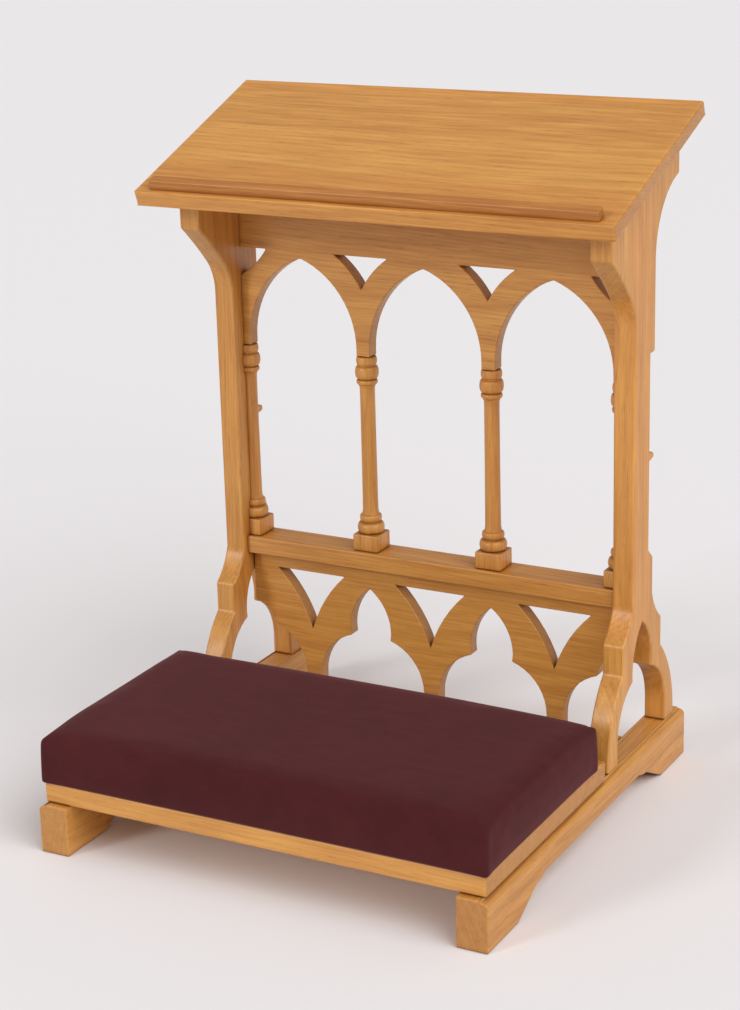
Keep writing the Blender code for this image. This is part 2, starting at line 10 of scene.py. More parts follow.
import bmesh
import bpy
from mathutils import Matrix, Vector
from mathutils.bvhtree import BVHTree


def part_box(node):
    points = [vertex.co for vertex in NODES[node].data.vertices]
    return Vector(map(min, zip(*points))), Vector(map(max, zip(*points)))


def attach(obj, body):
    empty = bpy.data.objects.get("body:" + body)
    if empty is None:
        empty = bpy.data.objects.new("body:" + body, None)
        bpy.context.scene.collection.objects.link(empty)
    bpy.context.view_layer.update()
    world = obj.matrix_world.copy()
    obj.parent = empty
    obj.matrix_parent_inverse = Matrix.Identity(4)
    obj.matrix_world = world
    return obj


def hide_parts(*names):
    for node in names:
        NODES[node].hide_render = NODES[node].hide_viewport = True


DESK_SLOPE = radians(20)
SAME_PLACE = 0.00001

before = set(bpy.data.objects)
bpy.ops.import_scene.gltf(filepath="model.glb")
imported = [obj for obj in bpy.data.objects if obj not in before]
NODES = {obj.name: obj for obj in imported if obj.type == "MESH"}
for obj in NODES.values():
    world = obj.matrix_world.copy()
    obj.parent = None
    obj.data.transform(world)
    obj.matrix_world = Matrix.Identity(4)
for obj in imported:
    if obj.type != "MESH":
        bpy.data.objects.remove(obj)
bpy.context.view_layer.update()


# ---------------------------------------------------------------- node trees

def new_material(name):
    """An empty material, its tree, and its Principled shader already wired to the output."""
    made = bpy.data.materials.new(name)
    made.use_nodes = True
    return made, made.node_tree, made.node_tree.nodes["Principled BSDF"]


def put(tree, kind, inputs=None, **settings):
    """Add a node; inputs maps socket names or numbers to values or to other sockets."""
    node = tree.nodes.new(kind)
    for key, value in settings.items():
        setattr(node, key, value)
    for key, value in (inputs or {}).items():
        if isinstance(value, bpy.types.NodeSocket):
            tree.links.new(value, node.inputs[key])
        else:
            node.inputs[key].default_value = value
    return node


def math(tree, operation, first, second=0.0, third=0.0):
    node = put(tree, "ShaderNodeMath", {0: first, 1: second, 2: third}, operation=operation)
    return node.outputs[0]


def vector_math(tree, operation, first, second):
    return put(tree, "ShaderNodeVectorMath", {0: first, 1: second}, operation=operation).outputs[0]


def noise(tree, vector, scale, detail=2.0, roughness=0.5):
    """Perlin noise of about 0 to 1 at the given places."""
    inputs = {"Vector": vector, "Scale": scale, "Detail": detail, "Roughness": roughness}
    return put(tree, "ShaderNodeTexNoise", inputs)


def ramp(tree, factor, stops):
    """A colour ramp; stops are (position, colour or grey value) pairs."""
    node = put(tree, "ShaderNodeValToRGB", {0: factor})
    elements = node.color_ramp.elements
    while len(elements) < len(stops):
        elements.new(0.5)
    for element, (position, colour) in zip(elements, stops):
        element.position = position
        element.color = colour if isinstance(colour, tuple) else (colour, colour, colour, 1)
    return node.outputs[0]


def mix(tree, factor, first, second, blend="MIX"):
    inputs = {0: factor, 6: first, 7: second}
    return put(tree, "ShaderNodeMix", inputs, data_type="RGBA", blend_type=blend).outputs[2]


def span(tree, value, low, high, to_low=0.0, to_high=1.0):
    """Map a range of values to another, clamped."""
    inputs = {0: value, 1: low, 2: high, 3: to_low, 4: to_high}
    return put(tree, "ShaderNodeMapRange", inputs).outputs[0]


# ---------------------------------------------------------------- oak

RING_SPACING = 0.0046
OAK_DARK = (0.42, 0.148, 0.020, 1)
OAK_LIGHT = (0.74, 0.364, 0.080, 1)
OAK_PORE = (0.27, 0.092, 0.014, 1)
GRAIN_TURN = {"X": (0, 0, 0), "Y": (0, 0, -pi / 2), "Z": (0, pi / 2, 0), "DESK": (-DESK_SLOPE, 0, 0)}


def oak_group():
    """Node group: solid oak whose grain runs along its first coordinate."""
    tree = bpy.data.node_groups.new("solid_oak", "ShaderNodeTree")
    sockets = (
        ("Vector", "INPUT", "NodeSocketVector"),
        ("Stave", "INPUT", "NodeSocketFloat"),
        ("Seed", "INPUT", "NodeSocketFloat"),
        ("Tone", "INPUT", "NodeSocketFloat"),
        ("Figure", "INPUT", "NodeSocketFloat"),
        ("Colour", "OUTPUT", "NodeSocketColor"),
        ("Roughness", "OUTPUT", "NodeSocketFloat"),
        ("Height", "OUTPUT", "NodeSocketFloat"),
    )
    for name, way, kind in sockets:
        tree.interface.new_socket(name=name, in_out=way, socket_type=kind)
    given = put(tree, "NodeGroupInput").outputs
    place = put(tree, "ShaderNodeSeparateXYZ", {0: given["Vector"]}).outputs
    u, v, w = place[0], place[1], place[2]

    # Glued staves: each has its own place in the log and its own tone
    stave = math(tree, "FLOOR", math(tree, "ADD", math(tree, "DIVIDE", v, given["Stave"]), given["Seed"]))
    key = math(tree, "ADD", stave, math(tree, "MULTIPLY", given["Seed"], 7.31))
    lot = put(tree, "ShaderNodeTexWhiteNoise", {"W": key}, noise_dimensions="1D").outputs
    luck = put(tree, "ShaderNodeSeparateColor", {0: lot["Color"]}).outputs
    u = math(tree, "ADD", u, math(tree, "MULTIPLY", luck[0], 9.0))
    v = math(tree, "ADD", v, math(tree, "MULTIPLY_ADD", luck[1], 0.16, -0.02))
    w = math(tree, "ADD", w, math(tree, "MULTIPLY_ADD", luck[2], 0.10, 0.05))

    # Slow wander of the grain along the board
    slow = put(tree, "ShaderNodeCombineXYZ", {0: math(tree, "MULTIPLY", u, 0.45), 1: v, 2: w}).outputs[0]
    sway = vector_math(tree, "SUBTRACT", noise(tree, slow, 6.0, 2.0).outputs["Color"], (0.5, 0.5, 0.5))
    sway = put(tree, "ShaderNodeSeparateXYZ", {0: sway}).outputs
    reach = math(tree, "MULTIPLY", given["Figure"], 0.05)
    v_log = math(tree, "MULTIPLY_ADD", sway[0], reach, v)
    w_log = math(tree, "MULTIPLY_ADD", sway[1], reach, math(tree, "MULTIPLY_ADD", u, 0.02, w))

    # Growth rings around the log's heart
    rings = put(tree, "ShaderNodeCombineXYZ", {0: 0.0, 1: v_log, 2: w_log}).outputs[0]
    depth = put(tree, "ShaderNodeVectorMath", {0: rings}, operation="LENGTH").outputs["Value"]
    uneven = noise(tree, put(tree, "ShaderNodeCombineXYZ", {0: depth}).outputs[0], 70.0, 2.0).outputs["Fac"]
    count = math(tree, "MULTIPLY_ADD", uneven, 2.6, math(tree, "DIVIDE", depth, RING_SPACING))
    phase = math(tree, "FRACT", count)
    year = put(tree, "ShaderNodeTexWhiteNoise", {"W": math(tree, "FLOOR", count)}, noise_dimensions="1D")
    late = ramp(tree, phase, ((0.0, 0.30), (0.10, 0.12), (0.45, 0.72), (0.85, 0.80), (1.0, 0.30)))
    early = ramp(tree, phase, ((0.0, 0.5), (0.08, 1.0), (0.30, 0.65), (0.55, 0.12), (1.0, 0.25)))

    # Fibres, broad colour drift and pores, all drawn out along the grain
    fibre = put(tree, "ShaderNodeCombineXYZ", {0: math(tree, "MULTIPLY", u, 0.035), 1: v, 2: w}).outputs[0]
    streak = noise(tree, fibre, 420.0, 3.0, 0.6).outputs["Fac"]
    broad = put(tree, "ShaderNodeCombineXYZ", {0: math(tree, "MULTIPLY", u, 0.10), 1: v, 2: w}).outputs[0]
    drift = noise(tree, broad, 85.0, 3.0, 0.6).outputs["Fac"]
    vessel = put(tree, "ShaderNodeCombineXYZ", {0: math(tree, "MULTIPLY", u, 0.05), 1: v, 2: w}).outputs[0]
    pore = span(tree, noise(tree, vessel, 1150.0, 1.0).outputs["Fac"], 0.60, 0.70)
    pore = math(tree, "MULTIPLY", pore, early)

    tone = math(tree, "MULTIPLY_ADD", late, 0.20, 0.40)
    tone = math(tree, "MULTIPLY_ADD", math(tree, "SUBTRACT", year.outputs["Value"], 0.5), 0.14, tone)
    tone = math(tree, "MULTIPLY_ADD", math(tree, "SUBTRACT", streak, 0.5), 0.80, tone)
    tone = math(tree, "MULTIPLY_ADD", math(tree, "SUBTRACT", drift, 0.5), 0.95, tone)
    tone = math(tree, "MULTIPLY_ADD", math(tree, "SUBTRACT", luck[1], 0.5), 0.16, tone)
    tone = math(tree, "ADD", tone, given["Tone"])
    colour = mix(tree, span(tree, tone, 0.0, 1.0), OAK_DARK, OAK_LIGHT)
    warm = mix(tree, 1.0, colour, (1.05, 0.93, 0.84, 1), "MULTIPLY")
    colour = mix(tree, span(tree, luck[0], 0.25, 1.0, 0.0, 0.45), colour, warm)
    colour = mix(tree, math(tree, "MULTIPLY", pore, 0.55), colour, OAK_PORE)

    height = math(tree, "MULTIPLY_ADD", pore, -1.0, math(tree, "MULTIPLY", late, 0.25))
    height = math(tree, "MULTIPLY_ADD", streak, 0.30, height)
    rough = math(tree, "MULTIPLY_ADD", streak, 0.16, math(tree, "MULTIPLY_ADD", pore, 0.2, 0.34))
    put(tree, "NodeGroupOutput", {"Colour": colour, "Roughness": rough, "Height": height})
    return tree


OAK_GROUP = oak_group()


def oak(name, grain, seed, tone=0.0, stave=9.0, figure=0.5):
    """Lacquered oak for one piece: grain axis, place in the log, tone and stave width."""
    made, tree, shader = new_material(name)
    place = put(tree, "ShaderNodeTexCoord").outputs["Object"]
    turned = put(tree, "ShaderNodeMapping", {"Vector": place, "Rotation": GRAIN_TURN[grain]})
    inputs = {"Vector": turned.outputs[0], "Seed": seed, "Tone": tone, "Stave": stave, "Figure": figure}
    wood = put(tree, "ShaderNodeGroup", inputs, node_tree=OAK_GROUP)
    # End grain drinks more finish: darken faces square to the grain
    inputs = {"Vector": put(tree, "ShaderNodeNewGeometry").outputs["Normal"], "Rotation": GRAIN_TURN[grain]}
    normal = put(tree, "ShaderNodeVectorRotate", inputs, rotation_type="EULER_XYZ").outputs[0]
    facing = put(tree, "ShaderNodeSeparateXYZ", {0: normal}).outputs[0]
    end = span(tree, math(tree, "ABSOLUTE", facing), 0.55, 0.95)
    colour = mix(tree, math(tree, "MULTIPLY", end, 0.42), wood.outputs["Colour"], (0.30, 0.125, 0.035, 1))
    # Painted shade: ambient occlusion darkens the colour in creases, corners and joints between pieces
    crease_shade_mask = put(tree, "ShaderNodeAmbientOcclusion", {"Distance": 0.006}, samples=4).outputs["AO"]
    shade = mix(tree, span(tree, crease_shade_mask, 0.35, 0.85), (0.50, 0.40, 0.34, 1), (1, 1, 1, 1))
    colour = mix(tree, 1.0, colour, shade, "MULTIPLY")
    tree.links.new(colour, shader.inputs["Base Color"])
    tree.links.new(wood.outputs["Roughness"], shader.inputs["Roughness"])
    inputs = {"Height": wood.outputs["Height"], "Strength": 0.35, "Distance": 0.0003}
    bump = put(tree, "ShaderNodeBump", inputs)
    tree.links.new(bump.outputs[0], shader.inputs["Normal"])
    shader.inputs["Coat Weight"].default_value = 0.10
    shader.inputs["Coat Roughness"].default_value = 0.25
    return made


# ---------------------------------------------------------------- other materials

def velvet():
    """Burgundy velvet: brushed nap, a fine pile and a soft sheen."""
    made, tree, shader = new_material("burgundy_velvet")
    place = put(tree, "ShaderNodeTexCoord").outputs["Object"]
    nap = noise(tree, place, 7.0, 3.0, 0.6).outputs["Fac"]
    brushed = put(tree, "ShaderNodeMapping", {"Vector": place, "Scale": (1.0, 3.2, 1.0)}).outputs[0]
    strokes = noise(tree, brushed, 26.0, 4.0, 0.65).outputs["Fac"]
    pile = noise(tree, place, 1500.0, 2.0, 0.7).outputs["Fac"]
    tone = math(tree, "MULTIPLY_ADD", strokes, 0.5, math(tree, "MULTIPLY", nap, 0.5))
    tone = math(tree, "MULTIPLY_ADD", math(tree, "SUBTRACT", pile, 0.5), 0.35, tone)
    colour = mix(tree, span(tree, tone, 0.25, 0.75), (0.048, 0.0080, 0.0092, 1), (0.080, 0.0128, 0.0140, 1))
    tree.links.new(colour, shader.inputs["Base Color"])
    shader.inputs["Roughness"].default_value = 0.92
    shader.inputs["Specular IOR Level"].default_value = 0.15
    shader.inputs["Sheen Weight"].default_value = 0.20
    shader.inputs["Sheen Roughness"].default_value = 0.45
    shader.inputs["Sheen Tint"].default_value = (0.75, 0.36, 0.38, 1)
    height = math(tree, "MULTIPLY_ADD", pile, 0.6, strokes)
    bump = put(tree, "ShaderNodeBump", {"Height": height, "Strength": 0.25, "Distance": 0.0006})
    tree.links.new(bump.outputs[0], shader.inputs["Normal"])
    return made


def pale_wood(name, dark, light, stretch):
    """Unfinished beech or birch: fine flecks drawn out along one axis."""
    made, tree, shader = new_material(name)
    place = put(tree, "ShaderNodeTexCoord").outputs["Object"]
    drawn = put(tree, "ShaderNodeMapping", {"Vector": place, "Scale": stretch}).outputs[0]
    fleck = noise(tree, drawn, 60.0, 4.0, 0.6).outputs["Fac"]
    tree.links.new(mix(tree, span(tree, fleck, 0.3, 0.7), dark, light), shader.inputs["Base Color"])
    bump = put(tree, "ShaderNodeBump", {"Height": fleck, "Strength": 0.2, "Distance": 0.0003})
    tree.links.new(bump.outputs[0], shader.inputs["Normal"])
    shader.inputs["Roughness"].default_value = 0.65
    return made


def zinc():
    """Bright zinc plate with a slightly uneven passivated film."""
    made, tree, shader = new_material("zinc_plate")
    place = put(tree, "ShaderNodeTexCoord").outputs["Object"]
    film = noise(tree, place, 300.0, 3.0, 0.6).outputs["Fac"]
    colour = mix(tree, film, (0.50, 0.49, 0.44, 1), (0.74, 0.73, 0.68, 1))
    tree.links.new(colour, shader.inputs["Base Color"])
    tree.links.new(span(tree, film, 0.2, 0.8, 0.25, 0.45), shader.inputs["Roughness"])
    shader.inputs["Metallic"].default_value = 1.0
    return made


# ---------------------------------------------------------------- boards

RUNNER_ARRIS = 0.0022
BOARD_ARRIS = 0.0016
PANEL_ARRIS = 0.0028
DESK_ARRIS = 0.0030
LEDGE_ARRIS = 0.0020
CONTACT = 0.0006
ARRIS_ANGLE = radians(32)
SHADING_ANGLE = radians(34)


def node_surface(name):
    """A CAD node's solid, ready to be asked how near a point is to it."""
    mesh = NODES[name].data
    return BVHTree.FromPolygons([v.co for v in mesh.vertices], [p.vertices for p in mesh.polygons])


SURFACES = {name: node_surface(name) for name in NODES}


def is_joined(edge, node):
    """Whether an edge lies against another piece, as at a joint or round a bore."""
    first, last = (vert.co for vert in edge.verts)
    others = [surface for name, surface in SURFACES.items() if name != node]
    for point in (first, (first + last) / 2, last):
        if not any(surface.find_nearest(point, CONTACT)[0] for surface in others):
            return False
    return True


def new_piece(name, bm, material, node):
    """Make a visible oak piece that rides on the root body and stands for a CAD node."""
    mesh = bpy.data.meshes.new(name)
    bm.to_mesh(mesh)
    bm.free()
    mesh.materials.append(material)
    piece = bpy.data.objects.new(name, mesh)
    bpy.context.scene.collection.objects.link(piece)
    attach(piece, "root")
    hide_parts(node)
    return piece


def board(node, material, arris, segments=3):
    """A wooden piece: its CAD solid with every outer arris rounded over."""
    bm = bmesh.new()
    bm.from_mesh(NODES[node].data)
    bmesh.ops.remove_doubles(bm, verts=bm.verts, dist=SAME_PLACE)
    bmesh.ops.dissolve_limit(bm, angle_limit=radians(0.5), verts=bm.verts, edges=bm.edges)
    arrises = [edge for edge in bm.edges if edge.calc_face_angle(0) > ARRIS_ANGLE]
    edges = [edge for edge in arrises if not is_joined(edge, node)]
    bmesh.ops.bevel(
        bm, geom=edges, offset=arris, segments=segments, profile=0.5, affect="EDGES",
        clamp_overlap=False, loop_slide=True, miter_outer="SHARP", miter_inner="SHARP",
    )
    for face in bm.faces:
        face.smooth = True
    piece = new_piece(f"{node}_rounded", bm, material, node)
    piece.data.set_sharp_from_angle(angle=SHADING_ANGLE)
    weighted = piece.modifiers.new("flat_faces", "WEIGHTED_NORMAL")
    weighted.keep_sharp = True
    weighted.weight = 60


def make_boards():
    """Every oak board, each cut from its own place in the log."""
    for index, side in enumerate(("left", "right")):
        board(f"runner_{side}", oak(f"oak_runner_{side}", "Y", 3.2 + index, 0.02), RUNNER_ARRIS)
        panel = oak(f"oak_panel_{side}", "Z", 11.4 + 2 * index, 0.03, 0.071, 0.6)
        board(f"side_panel_{side}", panel, PANEL_ARRIS, 4)
        board(f"desk_cleat_{side}", oak(f"oak_cleat_{side}", "Y", 5.7 + index), BOARD_ARRIS)
    board("platform_board", oak("oak_platform", "X", 21.3, 0.05, 0.11), PANEL_ARRIS)
    board("rear_stretcher", oak("oak_stretcher", "X", 8.8), BOARD_ARRIS)
    board("mid_rail", oak("oak_mid_rail", "X", 31.6, 0.02), BOARD_ARRIS)
    board("lower_arcade", oak("oak_lower_arcade", "X", 17.2, 0.0, 0.19, 0.7), BOARD_ARRIS, 2)
    board("upper_arcade", oak("oak_upper_arcade", "X", 41.9, -0.02, 0.29, 0.7), BOARD_ARRIS, 2)
    board("desk_board", oak("oak_desk", "DESK", 6.6, 0.06, 0.096, 0.45), DESK_ARRIS, 5)
    # Painted shade: the ledge's tone of -0.50 darkens the whole ledge to stand for the shade on its front
    # face
    board("book_ledge", oak("oak_ledge_painted_shade", "DESK", 12.9, -0.50), LEDGE_ARRIS, 4)


# ---------------------------------------------------------------- columns

COLUMN_SIDES = 64
BLOCK_TOP_RISE = 0.0215
BLOCK_ARRIS = 0.0017
COLUMN_CLEARANCE = 0.0003
COLUMN_SHADING_ANGLE = radians(40)


def ring(neck, belly, low, high, steps=10):
    """Half-round bead of a turned profile, as (radius, height) pairs."""
    points = []
    for step in range(steps + 1):
        angle = pi * step / steps
        points.append((neck + (belly - neck) * sin(angle), low + (high - low) * (1 - cos(angle)) / 2))
    return points


def column_profile(foot, head):
    """Turned profile from the top of the block to the pendant: base rings, shaft, capital."""
    block = foot + BLOCK_TOP_RISE
    base = [(0.0, block - 0.004), (0.0148, block - 0.004), (0.0148, block)]
    base += ring(0.0132, 0.0170, block + 0.0002, block + 0.0138)
    base += [(0.0118, block + 0.0145)] + ring(0.0118, 0.0139, block + 0.0152, block + 0.0238)
    shaft = [(0.0106, block + 0.0248), (0.0098, block + 0.031), (0.0096, block + 0.060)]
    shaft += [(0.0094, (block + head) / 2), (0.0093, head - 0.050), (0.0095, head - 0.0395)]
    capital = [(0.0106, head - 0.0365)] + ring(0.0110, 0.0132, head - 0.0355, head - 0.0290)
    capital += [(0.0114, head - 0.0284)] + ring(0.0120, 0.0147, head - 0.0278, head - 0.0125)
    capital += [(0.0112, head - 0.0117)] + ring(0.0112, 0.0129, head - 0.0110, head - 0.0003, 8)
    return base + shaft + capital + [(0.0, head - 0.0003)]


def lathe(bm, profile, centre):
    """Add a turned body around a vertical axis; radius 0 closes an end."""
    rings = []
    for radius, height in profile:
        if radius == 0:
            rings.append([bm.verts.new((centre.x, centre.y, height))])
            continue
        turns = [2 * pi * side / COLUMN_SIDES for side in range(COLUMN_SIDES)]
        spots = [(centre.x + radius * cos(turn), centre.y + radius * sin(turn), height) for turn in turns]
        rings.append([bm.verts.new(spot) for spot in spots])
    for lower, upper in zip(rings, rings[1:]):
        for side in range(COLUMN_SIDES):
            after = (side + 1) % COLUMN_SIDES
            corners = [lower[side % len(lower)], lower[after % len(lower)]]
            corners += [upper[after % len(upper)], upper[side % len(upper)]]
            bm.faces.new(list(dict.fromkeys(corners)))


def plinth_block(bm, centre, half, foot, top):
    """Add the square block under a column, its arrises rounded."""
    made = bmesh.ops.create_cube(bm, size=1.0)
    size = Matrix.Diagonal((2 * half, 2 * half, top - foot, 1))
    place = Matrix.Translation((centre.x, centre.y, (foot + top) / 2))
    bmesh.ops.transform(bm, matrix=place @ size, verts=made["verts"])
    edges = {edge for vert in made["verts"] for edge in vert.link_edges}
    bmesh.ops.bevel(bm, geom=list(edges), offset=BLOCK_ARRIS, segments=3, profile=0.5, affect="EDGES")


def column(node, centre, half, seed, keep_side=0):
    """A turned column on its block; keep_side leaves the half on one side of a panel's face."""
    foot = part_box("mid_rail")[1].z + COLUMN_CLEARANCE
    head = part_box("upper_arcade")[0].z
    bm = bmesh.new()
    lathe(bm, column_profile(foot, head), centre)
    plinth_block(bm, centre, half, foot, foot + BLOCK_TOP_RISE - 0.0002)
    if keep_side:
        low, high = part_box(node)
        face = Vector((high.x if keep_side < 0 else low.x, centre.y, foot))
        geometry = bm.verts[:] + bm.edges[:] + bm.faces[:]
        outward = Vector((-keep_side, 0, 0))
        cut = bmesh.ops.bisect_plane(bm, geom=geometry, plane_co=face, plane_no=outward, clear_outer=True)
        rim = [item for item in cut["geom_cut"] if isinstance(item, bmesh.types.BMEdge)]
        bmesh.ops.triangle_fill(bm, edges=rim, use_beauty=True)
    bmesh.ops.recalc_face_normals(bm, faces=bm.faces)
    for face in bm.faces:
        face.smooth = True
    piece = new_piece(f"{node}_turned", bm, oak(f"oak_{node}", "Z", seed, 0.0, 9.0, 0.35), node)
    piece.data.set_sharp_from_angle(angle=COLUMN_SHADING_ANGLE)


def make_columns():
    """The two free columns and the half columns against the panels."""
    for index, (side, sign) in enumerate((("left", -1), ("right", 1))):
        low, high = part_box(f"column_{side}")
        column(f"column_{side}", (low + high) / 2, (high.x - low.x) / 2, 51.1 + 3 * index)
        low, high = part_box(f"half_column_{side}")
        half = (high.y - low.y) / 2
        panel_face = max(abs(low.x), abs(high.x)) + COLUMN_CLEARANCE
        centre = Vector((sign * panel_face, (low.y + high.y) / 2, low.z))
        column(f"half_column_{side}", centre, half, 61.7 + 3 * index, -sign)


# ---------------------------------------------------------------- cushion

PAD_INSET = 0.0008
PAD_CELLS = (70, 37, 8)
PAD_CROWN = 0.0085
PAD_SHOULDER = 0.012
SHOULDER_DROP = 0.0020
CORNER_DROPS = {"front_left": 0.0095, "front_right": 0.0095, "rear_left": 0.0040, "rear_right": 0.0090}
SINK_POWER = 4.4
CORNER_EAR = 0.0030
EAR_POWER = 14
POCKET_GAP = 0.0012
# The rim starts this far below the platform, because smoothing lifts it
RIM_SPARE = 0.0034

PAD_PRESSURE = 4.0
PAD_FRAMES = 20
SWELL_CAP = 0.0022
PINNED_HEIGHT = 0.006
CORNER_REACH = 0.02
CORNER_STIFFNESS = 0.5

PLEAT_DEPTH = 0.0018
PLEAT_WIDTH = 0.0032
PLEAT_INSET = 0.009
PLEAT_REACH = 0.014
# Shares of the pad's height: where the pleats start and end, and how softly
PLEAT_START, PLEAT_FADE_IN = 0.45, 0.25
PLEAT_END, PLEAT_FADE_OUT = 0.97, 0.08


def is_in_pocket(co):
    """Whether a point of the pad belongs to the pocket for its base board."""
    low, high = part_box("cushion_base")
    margin = 2 * POCKET_GAP
    return all(low[i] - margin < co[i] < high[i] + margin for i in range(3))


def foam_block(low, high):
    """A block of even cells with a pocket below for its base board."""
    bm = bmesh.new()
    made = bmesh.ops.create_cube(bm, size=1.0)
    place = Matrix.Translation((low + high) / 2) @ Matrix.Diagonal((*(high - low), 1))
    bmesh.ops.transform(bm, matrix=place, verts=made["verts"])
    bottom = min(bm.faces, key=lambda face: face.calc_center_median().z)
    base_low, base_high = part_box("cushion_base")
    bmesh.ops.inset_individual(bm, faces=[bottom], thickness=base_low.x - low.x - POCKET_GAP)
    rise = base_high.z + POCKET_GAP - low.z
    bmesh.ops.translate(bm, verts=bottom.verts, vec=(0, 0, rise))
    for axis, cells in enumerate(PAD_CELLS):
        normal = Vector([float(axis == other) for other in range(3)])
        for cell in range(1, cells):
            at = low.lerp(high, cell / cells)
            geometry = bm.verts[:] + bm.edges[:] + bm.faces[:]
            bmesh.ops.bisect_plane(bm, geom=geometry, plane_co=at, plane_no=normal, dist=SAME_PLACE)
    return bm


def corner_name(co, centre):
    """The corner of the pad that a point is nearest to."""
    depth = "rear" if co.y > centre.y else "front"
    side = "right" if co.x > centre.x else "left"
    return f"{depth}_{side}"


def crown(bm, low, high):
    """Sink the block's upper corners and shoulders and pull its upright corners out a little."""
    centre = (low + high) / 2
    half = (high - low) / 2
    for vert in bm.verts:
        co = vert.co
        if is_in_pocket(co):
            continue
        across = abs(co.x - centre.x) / half.x
        along = abs(co.y - centre.y) / half.y
        height = (co.z - low.z) / (high.z - low.z)
        edge = min(half.x * (1 - across), half.y * (1 - along))
        shoulder = max(0.0, 1 - edge / PAD_SHOULDER) ** 2
        sink = CORNER_DROPS[corner_name(co, centre)] * (across * along) ** SINK_POWER
        ear = CORNER_EAR * (across * along) ** EAR_POWER
        co.z += height * (PAD_CROWN - sink)
        co.z -= height ** 4 * SHOULDER_DROP * shoulder * (1 - (across * along) ** 12)
        co.x += ear if co.x > centre.x else -ear
        co.y += ear if co.y > centre.y else -ear


def pad_start():
    """The pad before it is blown up: a foam block with a crowned top."""
    low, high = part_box("cushion_pad")
    low = low + Vector((PAD_INSET, PAD_INSET, -RIM_SPARE))
    high = high - Vector((PAD_INSET, PAD_INSET, SWELL_CAP + PAD_CROWN))
    mesh = bpy.data.meshes.new("cushion_velvet")
    bm = foam_block(low, high)
    crown(bm, low, high)
    bmesh.ops.recalc_face_normals(bm, faces=bm.faces)
    bm.to_mesh(mesh)
    bm.free()
    pad = bpy.data.objects.new("cushion_velvet", mesh)
    bpy.context.scene.collection.objects.link(pad)
    return pad


def apply_modifiers(piece):
    """Replace a piece's mesh by what its modifiers make of it."""
    graph = bpy.context.evaluated_depsgraph_get()
    made = bpy.data.meshes.new_from_object(piece.evaluated_get(graph))
    piece.modifiers.clear()
    piece.data = made


def pin_pad(pad, low, high):
    """Tack the pad's lower rim and make its upright corners stiffer."""
    pins = pad.vertex_groups.new(name="tacked")
    centre = (low + high) / 2
    for vertex in pad.data.vertices:
        co = vertex.co
        inside_x = high.x - abs(co.x - centre.x)
        inside_y = high.y - centre.y - abs(co.y - centre.y)
        if co.z < low.z + PINNED_HEIGHT or is_in_pocket(co):
            pins.add([vertex.index], 1.0, "REPLACE")
        elif max(inside_x, inside_y) < CORNER_REACH:
            pins.add([vertex.index], CORNER_STIFFNESS, "REPLACE")


def inflate(pad):
    """Blow the pad up as cloth and cap how far each point moves."""
    low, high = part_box("cushion_pad")
    pin_pad(pad, low, high)
    cloth = pad.modifiers.new("cloth", "CLOTH")
    cloth.settings.use_pressure = True
    cloth.settings.uniform_pressure_force = PAD_PRESSURE
    cloth.settings.vertex_group_mass = "tacked"
    cloth.settings.effector_weights.gravity = 0.0
    cloth.settings.quality = 3
    cloth.point_cache.frame_start = 1
    cloth.point_cache.frame_end = PAD_FRAMES
    for step in range(1, PAD_FRAMES + 1):
        bpy.context.scene.frame_set(step)
    start = [vertex.co.copy() for vertex in pad.data.vertices]
    graph = bpy.context.evaluated_depsgraph_get()
    moved = [vertex.co.copy() for vertex in pad.evaluated_get(graph).to_mesh().vertices]
    pad.modifiers.clear()
    pad.vertex_groups.clear()
    for vertex, old, new in zip(pad.data.vertices, start, moved):
        shift = new - old
        if shift.length > SWELL_CAP:
            shift *= SWELL_CAP / shift.length
        vertex.co = old + shift
    bpy.context.scene.frame_set(1)


def pleat(co, low, high):
    """How deep the folded corner tucks pull a point in; they run down the upper corners."""
    rise = (co.z - low.z) / (high.z - low.z)
    fade = max(0.0, min(1.0, (rise - PLEAT_START) / PLEAT_FADE_IN))
    fade *= max(0.0, min(1.0, (PLEAT_END - rise) / PLEAT_FADE_OUT))
    corner_x = high.x - PLEAT_INSET if co.x > 0 else low.x + PLEAT_INSET
    near_end = min(abs(co.y - low.y), abs(co.y - high.y)) < PLEAT_REACH
    reach = abs(co.x - corner_x)
    if not near_end or reach > 2.5 * PLEAT_WIDTH:
        return 0.0
    return fade * PLEAT_DEPTH * 2.718 ** (-((reach / PLEAT_WIDTH) ** 2))


def finish_pad(pad):
    """Soften and subdivide the skin, tuck its corners and rest it on the platform."""
    low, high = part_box("cushion_pad")
    smooth = pad.modifiers.new("soften", "SMOOTH")
    smooth.factor = 0.3
    smooth.iterations = 2
    finer = pad.modifiers.new("finer", "SUBSURF")
    finer.levels = 1
    finer.render_levels = 1
    apply_modifiers(pad)
    centre = (low + high) / 2
    for vertex in pad.data.vertices:
        co = vertex.co
        co.y -= pleat(co, low, high) * (1 if co.y > centre.y else -1)
        co.z = max(co.z, low.z)
    pad.data.shade_smooth()


def make_cushion():
    pad = pad_start()
    inflate(pad)
    finish_pad(pad)
    pad.data.materials.append(velvet())
    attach(pad, "root")
    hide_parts("cushion_pad")


# ---------------------------------------------------------------- hidden pieces

def paint_nodes():
    """Materials of the CAD nodes that stay: dowels, screws and the pad's base board."""
    beech = pale_wood("beech", (0.50, 0.33, 0.18, 1), (0.66, 0.47, 0.29, 1), (1, 1, 0.15))
    birch = pale_wood("birch_ply", (0.55, 0.40, 0.24, 1), (0.70, 0.55, 0.36, 1), (0.15, 1, 1))
    plate = zinc()
    for name, node in NODES.items():
        material = None
        if "dowel" in name:
            material = beech
        elif "screw" in name:
            material = plate
        elif name == "cushion_base":
            material = birch
        if material:
            node.data.materials.clear()
            node.data.materials.append(material)


# ---------------------------------------------------------------- stage

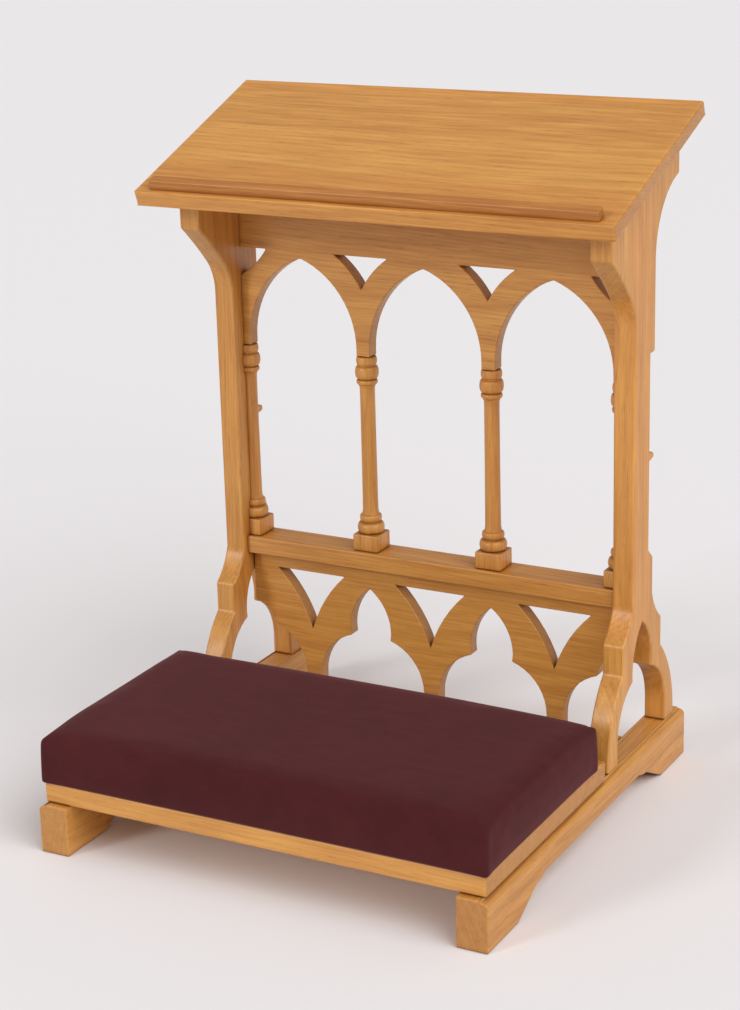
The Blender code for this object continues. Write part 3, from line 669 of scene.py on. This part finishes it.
CAMERA_PLACE = Vector((1.236, -2.2576, 1.2087))
CAMERA_AZIMUTH = radians(28.626)
CAMERA_ELEVATION = radians(17.93)
CAMERA_ROLL = radians(-1.606)
CAMERA_LENS = 113.1
CAMERA_SENSOR = 36
FLOOR_RADIUS = 40


def make_camera():
    """A long lens from the front right, a little above the desk."""
    data = bpy.data.cameras.new("camera")
    data.sensor_fit = "HORIZONTAL"
    data.sensor_width = CAMERA_SENSOR
    data.lens = CAMERA_LENS
    camera = bpy.data.objects.new("camera", data)
    level = cos(CAMERA_ELEVATION)
    view = Vector((-sin(CAMERA_AZIMUTH) * level, cos(CAMERA_AZIMUTH) * level, -sin(CAMERA_ELEVATION)))
    turn = view.to_track_quat("-Z", "Y").to_matrix().to_4x4()
    camera.matrix_world = Matrix.Translation(CAMERA_PLACE) @ turn @ Matrix.Rotation(CAMERA_ROLL, 4, "Z")
    bpy.context.scene.collection.objects.link(camera)
    bpy.context.scene.camera = camera


def make_floor():
    """A plain pale floor that runs out to the horizon."""
    made, _, shader = new_material("studio_floor")
    shader.inputs["Base Color"].default_value = (0.890, 0.868, 0.876, 1)
    shader.inputs["Roughness"].default_value = 0.85
    shader.inputs["Specular IOR Level"].default_value = 0.2
    bm = bmesh.new()
    bmesh.ops.create_circle(bm, cap_ends=True, segments=96, radius=FLOOR_RADIUS)
    mesh = bpy.data.meshes.new("floor")
    bm.to_mesh(mesh)
    bm.free()
    mesh.materials.append(made)
    floor = bpy.data.objects.new("floor", mesh)
    bpy.context.scene.collection.objects.link(floor)


def studio_sun(name, azimuth, elevation, spread, power):
    """A large distant softbox; azimuth 0 is straight in front, positive to the right."""
    data = bpy.data.lights.new(name, "SUN")
    data.angle = radians(spread)
    data.energy = power
    light = bpy.data.objects.new(name, data)
    light.rotation_euler = (radians(90 - elevation), 0, radians(azimuth))
    bpy.context.scene.collection.objects.link(light)


def make_lights():
    """White surroundings, a broad softbox on the right and a smaller one in front."""
    world = bpy.data.worlds.new("studio")
    world.use_nodes = True
    background = world.node_tree.nodes["Background"]
    background.inputs["Color"].default_value = (1.0, 0.985, 0.99, 1)
    background.inputs["Strength"].default_value = 0.40
    bpy.context.scene.world = world
    studio_sun("right_box", 70, 42, 55, 2.00)
    studio_sun("front_box", -28, 22, 16, 1.00)
    bpy.context.scene.view_settings.view_transform = "Standard"


make_camera()
make_floor()
make_lights()
make_boards()
make_columns()
make_cushion()
paint_nodes()
